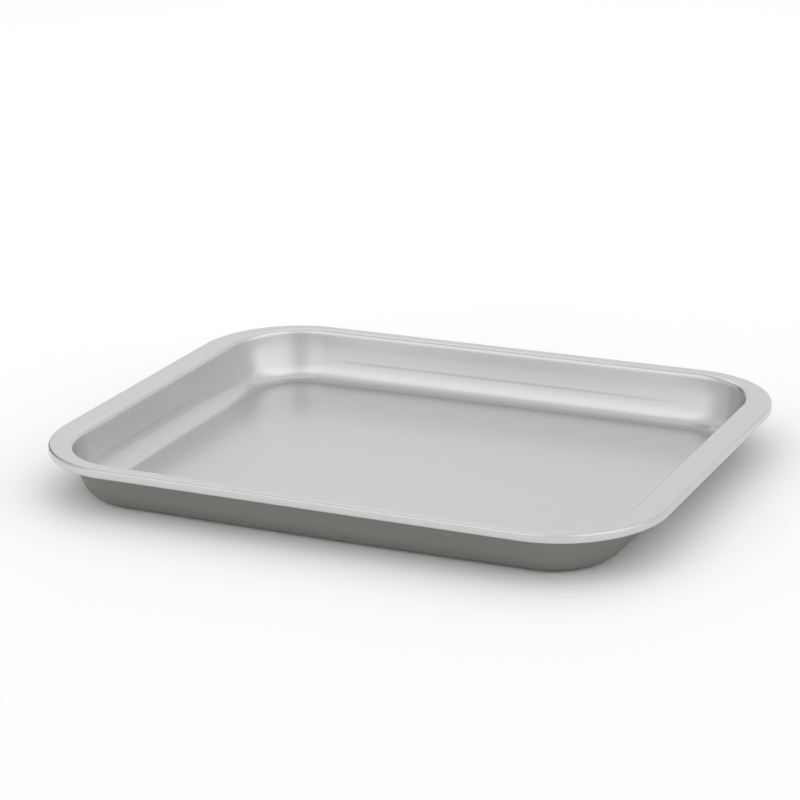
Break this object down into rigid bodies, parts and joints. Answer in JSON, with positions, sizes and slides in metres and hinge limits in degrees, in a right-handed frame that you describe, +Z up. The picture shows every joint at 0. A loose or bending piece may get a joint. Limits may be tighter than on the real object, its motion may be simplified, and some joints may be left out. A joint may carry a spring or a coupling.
{
  "type": "baking tray",
  "caption": "Shallow rectangular baking tray with rounded corners, sloping walls, a flat rim and an edge curled round a hidden wire.",
  "frame": {"origin": "middle of the underside of the base, where the tray stands", "axes": "+X along the long side, +Y along the short side, +Z up out of the tray"},
  "size_m": [0.35, 0.27, 0.0286],
  "materials": {
    "coated_steel": "silver-grey metallic non-stick coating with a satin sheen; the outside and underside are coated dark graphite",
    "bare_steel": "plain drawn steel wire"
  },
  "bodies": {
    "root": {"pan_body": "coated_steel", "rim_wire": "bare_steel"}
  },
  "joints": []
}
